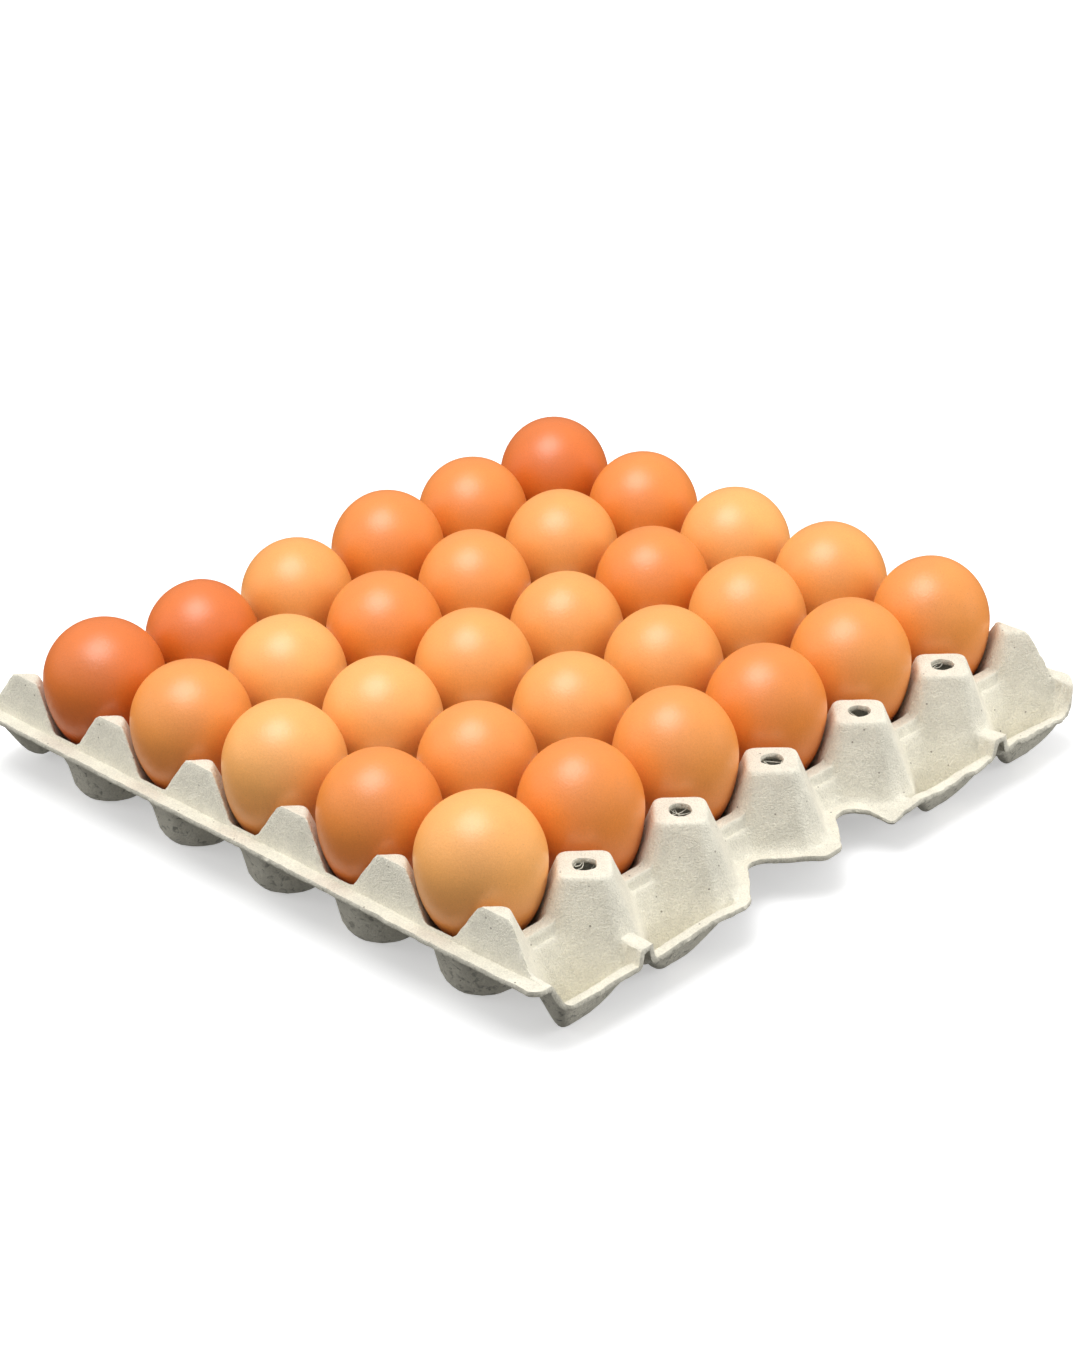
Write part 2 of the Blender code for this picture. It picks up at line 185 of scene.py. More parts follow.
def dressed(name: str, mesh: bpy.types.Mesh, finish: bpy.types.Material) -> bpy.types.Object:
    """Object of a mesh in its finish, linked into the scene.

    Args:
        name: Name of the object.
        mesh: The object's mesh.
        finish: The mesh's only material.

    Returns:
        The object.
    """
    piece = bpy.data.objects.new(name, mesh)
    bpy.context.scene.collection.objects.link(piece)
    mesh.materials.append(finish)
    return piece


@dataclass(frozen=True)
class TraySizes:
    """Driving dimensions of the pulp tray, in millimetres.

    A slope is a fall for each unit outward, a rounding the radius of an edge, and a blend
    the difference in height over which two features run into each other.
    """

    eggs_x: int = 6
    eggs_y: int = 5
    pitch_x: float = 47.0
    pitch_y: float = 48.4
    height: float = 44.0
    wall: float = 2.0
    post_half: float = 9.0
    post_corner: float = 11.35
    face_slope: float = 2.65
    top_rounding: float = 1.4
    corner_rounding: float = 1.5
    hole_radius: float = 4.2
    floor_z: float = 2.0
    bridge_z: float = 30.0
    rim_z: float = 27.5
    lip_z: float = 18.0
    ledge_z: float = 24.0
    step_z: float = 26.0
    blend: float = 3.0
    bridge_rounding: float = 2.0
    floor_half: float = 10.0
    floor_blend: float = 6.0
    cup_radius: float = 13.2
    cup_rounding: float = 5.0
    cup_slope: float = 25.0
    cup_blend: float = 2.5
    end_top_x: float = 135.6
    end_foot_x: float = 138.2
    half_x: float = 143.5
    rim_wall_slope: float = 5.0
    rim_rounding: float = 1.0
    rim_blend: float = 0.7
    bridge_outer: float = 2.4
    step_rounding: float = 0.7
    step_slope: float = 5.0
    step_blend: float = 0.8
    step_outer: float = 4.7
    step_edge: float = 1.6
    lip_inner: float = 24.3
    lip_outer: float = 28.0
    lip_edge: float = 1.2
    bay_wall_slope: float = 2.2
    bay_blend: float = 8.0
    ledge_half: float = 3.0
    ledge_side: float = 1.2
    ledge_blend: float = 0.6
    notch_apex: float = 11.6
    notch_rounding: float = 6.5
    notch_half: float = 19.1
    flap_x: float = 33.5
    flap_drop: float = 3.2
    flap_spread: float = 50.0
    bay_end_x: float = 135.5
    bay_end_slope: float = 2.05
    far_bay_shift: float = 4.0

    @property
    def side_post_y(self) -> float:
        """Distance of the outermost row of posts from the middle."""
        return self.pitch_y * self.eggs_y / 2

    @property
    def end_post_x(self) -> float:
        """Distance of the cut posts' middles from the tray's middle."""
        return self.pitch_x * self.eggs_x / 2

    @property
    def half_y(self) -> float:
        """Half the tray's length along Y."""
        return self.side_post_y + self.lip_outer

    @property
    def ledge_x(self) -> float:
        """Distance of the posts that end in a raised ledge."""
        return self.end_post_x - self.pitch_x

    @property
    def notch_x(self) -> float:
        """Distance of the notches from the tray's middle."""
        return self.pitch_x / 2

    @property
    def lip_end_x(self) -> float:
        """Distance at which a corner's end wall comes down to the lip."""
        return self.bay_end_x - (self.rim_z - self.lip_z) / self.bay_end_slope


@dataclass
class TraySurface:
    """Heights of the tray's two faces over the plan."""

    sizes: TraySizes = field(default_factory=TraySizes)

    def post(self, px: np.ndarray, py: np.ndarray) -> np.ndarray:
        """Post with a flat square top turned 45 degrees, its corners and edges rounded.

        Args:
            px: Distance from the post's middle along X.
            py: Distance from the post's middle along Y.

        Returns:
            Height of the post's surface.
        """
        s = self.sizes
        corner = np.maximum(px, py) - s.post_corner
        outward = smooth_max((px + py) / ROOT2 - s.post_half, corner, s.corner_rounding)
        return s.height - shoulder(outward, s.top_rounding, s.face_slope)

    def inside(self, px: np.ndarray, py: np.ndarray) -> np.ndarray:
        """Height between the posts: bridges and posts, with a round bowl cut into each cup.

        Args:
            px: Distance from the nearest post's middle along X.
            py: Distance from the nearest post's middle along Y.

        Returns:
            Height of the upper face.
        """
        s = self.sizes
        cup_x, cup_y = s.pitch_x / 2 - px, s.pitch_y / 2 - py
        reach = s.floor_half + (s.bridge_z - s.floor_z) / s.face_slope
        bridges = np.maximum(
            s.bridge_z - shoulder(reach - cup_x, s.bridge_rounding, s.face_slope),
            s.bridge_z - shoulder(reach - cup_y, s.bridge_rounding, s.face_slope),
        )
        walls = smooth_max(self.post(px, py), bridges, s.blend)
        walls = smooth_max(walls, s.floor_z, s.floor_blend)
        bowl = s.floor_z + shoulder(np.hypot(cup_x, cup_y) - s.cup_radius, s.cup_rounding, s.cup_slope)
        return smooth_min(walls, bowl, s.cup_blend)

    def bay(self, ax: np.ndarray, px: np.ndarray, out: np.ndarray, end: np.ndarray) -> np.ndarray:
        """Height outside the last row of posts: partial cups, lips, ledges and notched bays.

        Args:
            ax: Distance from the middle along X.
            px: Distance along X from the nearest post's middle.
            out: Distance outward from the row of posts.
            end: Distance from the middle at which the corner's end wall meets the rim.

        Returns:
            Height of the upper face.
        """
        s = self.sizes
        step = s.bridge_z - shoulder(out - s.bridge_outer, s.step_rounding, s.step_slope)
        step = smooth_max(step, s.step_z, s.step_blend)
        back = smooth_min(step, s.step_z - s.face_slope * (out - s.step_outer), s.step_edge)
        rise = s.lip_z - s.bay_wall_slope * (s.lip_inner - out)
        wall = smooth_min(rise, s.lip_z, s.lip_edge)
        ledge_side = np.clip((np.abs(ax - s.ledge_x) - s.ledge_half) / s.ledge_side, 0.0, 1.0)
        ledge_side = ledge_side**2 * (3 - 2 * ledge_side)
        ledge = s.ledge_z - (s.ledge_z - s.lip_z) * ledge_side
        ledge = np.where((out > s.post_corner) & (ledge_side < 1), ledge, s.floor_z)
        deep = smooth_max(smooth_max(back, wall, s.blend), s.floor_z, s.bay_blend)
        shallow = smooth_max(back, s.lip_z, s.blend)
        bottom = np.where(ax < s.pitch_x, shallow, deep)
        end_wall = smooth_min(s.rim_z - s.bay_end_slope * (end - ax), s.rim_z, s.lip_edge)
        walls = smooth_max(smooth_max(self.post(px, out), bottom, s.blend), end_wall, s.blend)
        return smooth_max(walls, ledge, s.ledge_blend)

    def post_offsets(self, x: np.ndarray, y: np.ndarray) -> tuple[np.ndarray, np.ndarray]:
        """Distances along X and Y from the nearest post's middle."""
        s = self.sizes
        px = np.abs(x - s.pitch_x * np.round(x / s.pitch_x))
        return px, np.abs(np.mod(y / s.pitch_y, 1.0) - 0.5) * s.pitch_y

    def upper(self, x: np.ndarray, y: np.ndarray) -> np.ndarray:
        """Height of the upper face: the highest of its features, cut at the X ends.

        Args:
            x: Places along X.
            y: Places along Y.

        Returns:
            Height at each place.
        """
        s = self.sizes
        ax, out = np.abs(x), np.abs(y) - s.side_post_y
        px, py = self.post_offsets(x, y)
        px = np.where(ax > s.end_post_x, ax - s.end_post_x, px)
        end = s.bay_end_x + s.far_bay_shift * (x > 0)
        height = np.where(out > 0, self.bay(ax, px, np.maximum(out, 0.0), end), self.inside(px, py))
        fall = s.rim_z - s.rim_wall_slope * (s.end_foot_x - ax)
        ends = smooth_max(height, np.minimum(fall, s.rim_z), s.bridge_rounding)
        height = np.where(out > 0, height, ends)
        cut = s.rim_z + (s.height - s.rim_z) * (s.end_foot_x - ax) / (s.end_foot_x - s.end_top_x)
        height = np.where(ax > s.end_top_x - s.wall, smooth_min(height, cut, s.blend), height)
        return smooth_max(height, smooth_min(fall, s.rim_z, s.rim_rounding), s.rim_blend)

    def lower(self, x: np.ndarray, y: np.ndarray) -> np.ndarray:
        """Height of the lower face: the upper face worn away by a ball of the wall's radius.

        Args:
            x: Places along X.
            y: Places along Y.

        Returns:
            Lowest of the upper face's heights round each place, less the ball's height there.
        """
        wall = self.sizes.wall
        low = self.upper(x, y) - wall
        for tilt, turn in product(np.radians((18, 36, 52, 68, 80, 90)), np.radians(np.arange(0, 360, 30))):
            reach = wall * math.sin(tilt)
            beside = self.upper(x + reach * math.cos(turn), y + reach * math.sin(turn))
            low = np.minimum(low, beside - wall * math.cos(tilt))
        return low


def rounded_path(corners: list[tuple[float, float, float]], spacing: float) -> np.ndarray:
    """Open path through corners, each rounded by an arc, sampled at about even spacing.

    The arc of radius r touches both sides at r times the tangent of half the turn.

    Args:
        corners: Corner points with a rounding radius each; the ends keep theirs sharp.
        spacing: Distance between samples.

    Returns:
        Array of points along the path.
    """
    points = [np.array(corners[0][:2])]
    for before, here, after in zip(corners, corners[1:], corners[2:]):
        corner, radius = np.array(here[:2]), here[2]
        along = corner - np.array(before[:2])
        onward = np.array(after[:2]) - corner
        along, onward = along / np.linalg.norm(along), onward / np.linalg.norm(onward)
        turn = math.acos(float(np.clip(along @ onward, -1.0, 1.0)))
        reach = radius * math.tan(turn / 2.0)
        side = np.array([-along[1], along[0]])
        side = side if side @ onward > 0 else -side
        middle = corner - along * reach + side * radius
        for angle in np.linspace(0.0, turn, max(3, int(radius * turn / spacing) + 2)):
            points.append(middle - side * radius * math.cos(angle) + along * radius * math.sin(angle))
    points.append(np.array(corners[-1][:2]))
    knots = np.array(points)
    lengths = np.concatenate([[0.0], np.cumsum(np.linalg.norm(np.diff(knots, axis=0), axis=1))])
    at = np.linspace(0.0, lengths[-1], int(round(lengths[-1] / spacing)) + 1)
    return np.column_stack([np.interp(at, lengths, knots[:, k]) for k in (0, 1)])


@dataclass
class TrayPlan:
    """Points and triangles of the fine tray in plan.

    Its rows of points are closest where the surface turns; each tuple lists the rows'
    distances from the feature that its name gives.
    """

    surface: TraySurface = field(default_factory=TraySurface)
    edge_spacing: float = 0.9
    ring_offsets: tuple[float, ...] = (-2.6, -1.5, -0.95, -0.5, -0.05, 0.45, 1.2, 2.2, 3.4)
    end_top_rows: tuple[float, ...] = (-2.2, -1.3, -0.7, -0.3, 0.0, 0.3, 0.8, 1.4)
    end_foot_rows: tuple[float, ...] = (-0.7, -0.35, -0.12, 0.05, 0.3, 0.8, 1.8, 3.0, 4.1)
    step_rows: tuple[float, ...] = (1.5, 2.1, 2.4, 2.75, 3.1, 3.4, 4.2, 4.7, 5.2, 5.9)
    ledge_rows: tuple[float, ...] = (-5.0, -4.4, -3.8, -3.2, -2.6, 2.6, 3.2, 3.8, 4.4, 5.0)
    edge_depths: tuple[float, ...] = (0.5, 1.1, 1.9, 2.9)
    ring_step: float = 6.0
    hole_sides: int = 40
    hole_wear: float = 0.35
    collar: float = 1.16
    inner_step: float = 2.8
    outer_step: float = 1.5
    raggedness: float = 0.45
    tear: float = 0.9
    torn_from: float = 35.0
    torn_over: float = 50.0
    torn_beyond: float = 120.0
    nicks: tuple[tuple[float, Noise], ...] = (
        (0.5, Noise(6.5, 11)),
        (0.35, Noise(2.6, 12)),
        (0.3, Noise(1.1, 14)),
    )
    wear: Noise = Noise(1.9, 13)
    post_gap: float = 0.9
    firm_gap: float = 0.4
    fill_gap: float = 0.8

    @property
    def sizes(self) -> TraySizes:
        """Dimensions of the tray."""
        return self.surface.sizes

    def outline(self) -> np.ndarray:
        """Closed outline of the sheet, anticlockwise, its cut edge a little ragged.

        Quarters and their mirror images are moved along their outward direction by smooth
        noise of three periods, most where the lips at one side are torn.

        Returns:
            Points along the outline.
        """
        shift = self.sizes.far_bay_shift
        far, close, bent = self.quarter(shift, False), self.quarter(0.0, False), self.quarter(shift, True)
        left = [close[::-1][1:] * (-1, 1), close[1:] * (-1, -1)]
        loop = np.vstack([far, *left, bent[::-1][1:-1] * (1, -1)])
        ragged = sum(share * noise.at(loop) for share, noise in self.nicks)
        amount = self.raggedness + self.tear * self.torn(loop)
        return loop - self.inward(loop) * (amount * ragged)[:, None]

    def torn(self, plan: np.ndarray) -> np.ndarray:
        """Share of tearing, from 0 to 1 towards the far end of the front side's lips."""
        share = np.clip((plan[:, 0] - self.torn_from) / self.torn_over, 0.0, 1.0)
        return share * (plan[:, 1] < -self.torn_beyond)

    def quarter(self, shift: float, flap: bool) -> np.ndarray:
        """A quarter of the outline, from the middle of an X end to the middle of a Y side.

        Args:
            shift: How much further out the corner's bay reaches.
            flap: Whether a bent flap is left on the notch's outer side.

        Returns:
            Points along the quarter.
        """
        s = self.sizes
        apex = s.half_y - (s.lip_outer - s.notch_apex) - s.notch_rounding * (ROOT2 - 1)
        bent = [(s.flap_x, s.half_y - 0.8, 2.5), (s.flap_x - 2.0, s.half_y - 10.0, 3.0)]
        corners = [
            (s.half_x, 0.0, 0.0),
            (s.half_x, s.half_y - 5.2 - 0.8 * shift, 4.5),
            (s.half_x - 3.0 + 0.35 * shift, s.half_y - 3.0 - 0.5 * shift, 1.5 + shift / 2),
            (s.bay_end_x + shift, s.half_y - 2.8, 3.0),
            (s.lip_end_x + shift, s.half_y - 1.5, 3.0),
            (s.lip_end_x - 2.4 + 0.3 * shift, s.half_y, 1.2 + shift / 3),
            (s.notch_x + s.notch_half, s.half_y, 7.0),
            *(bent if flap else []),
            (s.notch_x, apex, s.notch_rounding),
            (s.notch_x - s.notch_half, s.half_y, 4.0),
            (0.0, s.half_y, 0.0),
        ]
        return rounded_path(corners, self.edge_spacing)

    @staticmethod
    def inward(loop: np.ndarray) -> np.ndarray:
        """Unit direction towards the inside at each point of an anticlockwise loop."""
        ahead = np.roll(loop, -1, axis=0) - np.roll(loop, 1, axis=0)
        return np.column_stack([-ahead[:, 1], ahead[:, 0]]) / np.linalg.norm(ahead, axis=1)[:, None]

    def post_middles(self, half_posts: bool) -> np.ndarray:
        """Middles of the whole posts, or of the cut posts at the X ends.

        Args:
            half_posts: Whether the cut posts are asked for.

        Returns:
            Plan points.
        """
        s = self.sizes
        across = np.arange(-s.eggs_x // 2 + 1, s.eggs_x // 2) * s.pitch_x
        if half_posts:
            across = np.array([-s.end_post_x, s.end_post_x])
        return grid_points(across, (np.arange(s.eggs_y + 1) - s.eggs_y / 2) * s.pitch_y)

    def clear_of_posts(self, points: np.ndarray, gap: float) -> np.ndarray:
        """Points that stand more than a gap outside every post's top outline.

        Args:
            points: Plan points.
            gap: Least distance from the outlines.

        Returns:
            The points that are left.
        """
        px, py = self.surface.post_offsets(*points.T)
        sides = (px + py) / ROOT2 - self.sizes.post_half
        return points[np.maximum(sides, np.maximum(px, py) - self.sizes.post_corner) > gap]

    def rings(self) -> np.ndarray:
        """Rings round each post that follow its square with cut corners, closest at the edge.

        Returns:
            Plan points.
        """
        s = self.sizes
        angles = np.radians(np.arange(0.0, 360.0, self.ring_step) + self.ring_step / 2)
        offsets = np.array(self.ring_offsets)[:, None]
        ca, sa = np.abs(np.cos(angles)), np.abs(np.sin(angles))
        sides = (s.post_half + offsets) * ROOT2 / (ca + sa)
        radius = np.minimum(sides, (s.post_corner + offsets) / np.maximum(ca, sa))
        local = np.stack([radius * np.cos(angles), radius * np.sin(angles)], axis=-1).reshape(-1, 2)
        middles = np.vstack([self.post_middles(False), self.post_middles(True)])
        return (middles[:, None, :] + local[None, :, :]).reshape(-1, 2)

    def end_rows(self) -> np.ndarray:
        """Rows along both X ends, close together where the cut face and the rim turn.

        Returns:
            Plan points.
        """
        s = self.sizes
        top, foot = s.end_top_x + np.array(self.end_top_rows), s.end_foot_x + np.array(self.end_foot_rows)
        ends = grid_points(mirrored(np.concatenate([top, foot])), np.arange(-s.half_y, s.half_y, 1.7))
        walls = s.bay_end_x - np.array([5.5, 4.5, 3.5, 2.6])
        rows = np.concatenate([walls, s.lip_end_x - np.array([0.0, 0.9])])
        rows = np.concatenate([rows + s.far_bay_shift, -rows])
        along = np.arange(s.side_post_y + 12.0, s.half_y, 1.0)
        return np.vstack([ends, grid_points(rows, mirrored(along))])

    def crease_rows(self) -> np.ndarray:
        """Rows that follow the steps under the outer bridges, the lips and the ledges.

        Returns:
            Plan points.
        """
        s = self.sizes
        across = np.arange(-s.end_top_x + 4.0, s.end_top_x - 4.0, 1.3)
        offset = np.abs(across - s.pitch_x * np.round(across / s.pitch_x))
        out = np.array(self.step_rows) + s.side_post_y
        steps = grid_points(across[offset > 13.0], mirrored(out))
        out = s.side_post_y + s.lip_inner + np.array([-1.2, -0.5, 0.0, 0.5])
        lips = grid_points(across[np.abs(across) > s.pitch_x], mirrored(out))
        beside = np.array(self.ledge_rows)
        beside = np.concatenate([beside - s.ledge_x, beside + s.ledge_x])
        ledges = grid_points(beside, mirrored(np.arange(s.side_post_y + 17.0, s.half_y, 0.9)))
        return np.vstack([steps, lips, ledges, self.post_creases()])

    def post_creases(self) -> np.ndarray:
        """Points along the creases of the outer posts, where a face meets a cut corner.

        There the distances outside the square and outside the cut are equal, which is a
        line at 22.5 degrees from an axis; a point stands on it and one on each side.

        Returns:
            Plan points.
        """
        s = self.sizes
        depth = np.arange(self.ring_offsets[-1] + 0.9, 12.0, 1.0)
        along = s.post_corner + depth
        across = (along - (s.post_corner - s.post_half) * ROOT2 / (ROOT2 - 1.0)) * (ROOT2 - 1.0)
        beside = np.array([-0.8, 0.0, 0.8])[:, None]
        turn = math.radians(22.5)
        line = np.stack([along - beside * math.sin(turn), across + beside * math.cos(turn)], axis=-1)
        line = line.reshape(-1, 2)
        line = np.vstack([line, line[:, ::-1]])
        line = np.vstack([line, line * (-1, 1)])
        middles = self.post_middles(False)
        middles = middles[middles[:, 1] > s.side_post_y - 1.0]
        upper = (middles[:, None, :] + line[None, :, :]).reshape(-1, 2)
        return np.vstack([upper, upper * (1, -1)])

    def fill(self) -> np.ndarray:
        """Square grids between the rings: wider in the cups, closer at the Y sides.

        Returns:
            Plan points.
        """
        s = self.sizes
        inner_y = s.side_post_y - 2.0
        nx, ny = int(s.end_top_x / self.inner_step), int(inner_y / self.inner_step)
        x = np.linspace(-s.end_top_x + 3.2, s.end_top_x - 3.2, 2 * nx + 1)
        inner = grid_points(x, np.linspace(-inner_y, inner_y, 2 * ny + 1))
        x = np.linspace(-s.end_top_x + 3.0, s.end_top_x - 3.0, 2 * int(s.end_top_x / self.outer_step) + 1)
        outer = grid_points(x, mirrored(np.arange(s.side_post_y - 0.8, s.half_y - 1.0, self.outer_step)))
        return self.clear_of_posts(np.vstack([inner, outer]), self.ring_offsets[-1] + 0.7)

    def edge_rows(self, outline: np.ndarray) -> np.ndarray:
        """Rows just inside the outline, at the outline's own samples."""
        inward = self.inward(outline)
        return np.vstack([outline + inward * depth for depth in self.edge_depths])

    def hole_loops(self, middles: np.ndarray) -> np.ndarray:
        """Round holes through the post tops, each with a slightly worn edge.

        Args:
            middles: Middles of the holes.

        Returns:
            Points round each hole in turn.
        """
        turn = 2 * np.pi * np.arange(self.hole_sides) / self.hole_sides
        around = np.column_stack([np.cos(turn), np.sin(turn)])
        places = (middles[:, None, :] + self.sizes.hole_radius * around[None, :, :]).reshape(-1, 2)
        worn = self.hole_wear * self.wear.at(places)[:, None]
        return places + worn * np.tile(around, (len(middles), 1))

    def triangles(self) -> tuple[np.ndarray, np.ndarray]:
        """Delaunay triangles between all points, inside the outline and outside the holes.

        Returns:
            Plan points, and triangles as rows of point numbers, anticlockwise.
        """
        s = self.sizes
        outline = self.outline()
        middles = self.post_middles(False)
        holes = self.hole_loops(middles)
        within = middles.repeat(self.hole_sides, axis=0)
        collar = within + self.collar * (holes - within)
        rings = self.rings()
        rings = rings[np.abs(rings[:, 0]) < s.end_top_x - 2.8]
        edges = self.edge_rows(outline)
        edges = edges[~near(edges, outline, 0.42)]
        creases = self.clear_of_posts(self.crease_rows(), self.post_gap)
        creases = creases[~near(creases, outline, 0.6)]
        edges = edges[~near(edges, creases, 0.5)]
        firm = np.vstack([creases, edges, self.end_rows()])
        firm = firm[inside_loop(firm, outline) & ~near(firm, outline, self.firm_gap)]
        fill = self.fill()
        fill = fill[~near(fill, outline, self.edge_spacing) & ~near(fill, firm, self.fill_gap)]
        rings = rings[~near(rings, firm, self.firm_gap)]
        points = np.vstack([outline, holes, collar, firm, rings, fill[inside_loop(fill, outline)]])
        count = len(outline)
        loop = np.arange(count)
        chain = [np.column_stack([loop, np.roll(loop, -1)])]
        ring = np.arange(self.hole_sides)
        for start in range(count, count + len(holes), self.hole_sides):
            chain.append(np.column_stack([ring, np.roll(ring, -1)]) + start)
        corners, _, faces, _, _, _ = delaunay_2d_cdt(points, np.vstack(chain), [], 0, 1e-4, False)
        corners, faces = np.array(corners), np.array(faces)
        middle = corners[faces].mean(axis=1)
        in_hole = (faces >= count) & (faces < count + len(holes))
        return corners, faces[~in_hole.all(axis=1) & inside_loop(middle, outline)]


def near(points: np.ndarray, others: np.ndarray, gap: float, cell: float = 0.15) -> np.ndarray:
    """Whether each point is within a gap of any other, to the size of a cell.

    The cells that hold the others, and all cells within the gap of them, are marked on a
    square raster; each point then looks up its own cell.

    Args:
        points: Plan points to test.
        others: Plan points to keep away from.
        gap: Distance that counts as near.
        cell: Size of the raster's cells.

    Returns:
        True for each point that is near another.
    """
    low = np.minimum(points.min(axis=0), others.min(axis=0)) - gap - cell
    span = np.maximum(points.max(axis=0), others.max(axis=0)) + gap + 2 * cell - low
    raster = np.zeros(np.ceil(span / cell).astype(int) + 1, bool)
    reach = int(gap / cell)
    step = np.arange(-reach, reach + 1)
    disc = grid_points(step, step)
    disc = disc[np.hypot(*disc.T) * cell <= gap]
    at = np.floor((others - low) / cell).astype(int)
    marked = (at[:, None, :] + disc[None, :, :]).reshape(-1, 2)
    raster[marked[:, 0], marked[:, 1]] = True
    at = np.floor((points - low) / cell).astype(int)
    return raster[at[:, 0], at[:, 1]]


def inside_loop(points: np.ndarray, loop: np.ndarray) -> np.ndarray:
    """Even-odd test of points against a closed loop.

    A point is inside if a ray from it to the right crosses the loop an odd number of times.

    Args:
        points: Points to test.
        loop: Corners of the closed loop.

    Returns:
        True for each point inside.
    """
    inside = np.zeros(len(points), bool)
    x, y = points.T
    for (x0, y0), (x1, y1) in zip(loop, np.roll(loop, -1, axis=0)):
        if y0 != y1:
            crosses = (y > min(y0, y1)) & (y <= max(y0, y1))
            inside ^= crosses & (x < x0 + (y - y0) * (x1 - x0) / (y1 - y0))
    return inside


@dataclass
class Tray:
    """The pulp tray: its fine mesh and its finish."""

    plan: TrayPlan = field(default_factory=TrayPlan)
    waviness: float = 0.3
    lip_waviness: float = 0.7
    roughness: float = 0.12
    waves: Noise = Noise(23.0, 3)
    grain: Noise = Noise(5.0, 4)
    lip_waves: Noise = Noise(15.0, 5)
    lip_grain: Noise = Noise(2.4, 6)
    edge_grain: Noise = Noise(1.7, 7)
    edge_bulge: float = 0.3
    # Share of the painted underside shade that the edge's middle row takes.
    edge_painted_shade_share: float = 0.6
    crease_angle: float = 46.0

    def unevenness(self, plan: np.ndarray) -> np.ndarray:
        """Waves and grain of the sheet, stronger at the lips, less the drop of the bent flap.

        The drop is a bell curve of the distance from the flap's corner.

        Args:
            plan: Plan points.

        Returns:
            Height to add at each point.
        """
        s = self.plan.sizes
        x, y = plan.T
        wave = self.waviness * self.waves.at(plan) + self.roughness * self.grain.at(plan)
        lip = np.clip((np.abs(y) - s.side_post_y - 14.0) / 10.0, 0.0, 1.0)
        lip *= 1.0 + 1.5 * self.plan.torn(plan)
        away = (x - s.flap_x) ** 2 + 0.6 * (y + s.half_y) ** 2
        wave -= s.flap_drop * np.exp(-away / s.flap_spread)
        lip *= self.lip_waviness * self.lip_waves.at(plan) + self.roughness * self.lip_grain.at(plan)
        return wave + lip

    def mesh(self) -> bpy.types.Mesh:
        """Upper and lower faces over one plan, joined by a rounded edge.

        The faces take the same unevenness, the lower one a little less. A side of a
        triangle that no other triangle runs back along is an edge of the sheet, which gets
        a middle row that stands a little outside.

        Returns:
            The mesh, with each point's share of the painted underside shade as an attribute: none on the
            upper face, all on the lower one and part on the edge.
        """
        corners, faces = self.plan.triangles()
        wave, surface = self.unevenness(corners), self.plan.surface
        upper = np.column_stack([corners, surface.upper(*corners.T) + wave])
        lower = np.column_stack([corners, np.maximum(surface.lower(*corners.T) + 0.8 * wave, 0.0)])
        a, b = faces.ravel(), np.roll(faces, -1, axis=1).ravel()
        count = len(corners)
        free = ~np.isin(a * count + b, b * count + a)
        a, b = a[free], b[free]
        ring = np.unique(np.concatenate([a, b]))
        order = np.full(count, -1)
        order[ring] = np.arange(len(ring))
        out = np.zeros((count, 2))
        side = corners[b] - corners[a]
        side = np.column_stack([side[:, 1], -side[:, 0]]) / np.linalg.norm(side, axis=1)[:, None]
        np.add.at(out, a, side)
        np.add.at(out, b, side)
        out = out[ring] / np.linalg.norm(out[ring], axis=1)[:, None]
        middle = (upper[ring] + lower[ring]) / 2
        middle[:, :2] += self.edge_bulge * out * (1.0 + self.edge_grain.at(middle))[:, None]
        points = np.vstack([upper, lower, middle])
        ma, mb = order[a] + 2 * count, order[b] + 2 * count
        walls = np.vstack([np.column_stack([b, a, ma, mb]), np.column_stack([mb, ma, a + count, b + count])])
        mesh = mesh_from_arrays("pulp_tray", points, [faces, faces[:, ::-1] + count, walls])
        # Painted shade: the lower face, and the edge in part, is marked to be darkened in the pulp's colour,
        # standing in for shade under the tray.
        painted_shade_share = np.concatenate([np.zeros(count), np.ones(count), np.full(len(ring), self.edge_painted_shade_share)])
        mesh.set_sharp_from_angle(angle=math.radians(self.crease_angle))
        attribute = mesh.attributes.new("painted_shade_share", "FLOAT", "POINT")
        attribute.data.foreach_set("value", painted_shade_share.astype(np.float32))
        return mesh

    def build(self, finish: bpy.types.Material) -> bpy.types.Object:
        """The tray piece in place of its CAD node.

        Args:
            finish: The pulp's material.

        Returns:
            The piece.
        """
        piece = dressed("pulp_tray", self.mesh(), finish)
        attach(piece, "root")
        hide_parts("tray")
        return piece


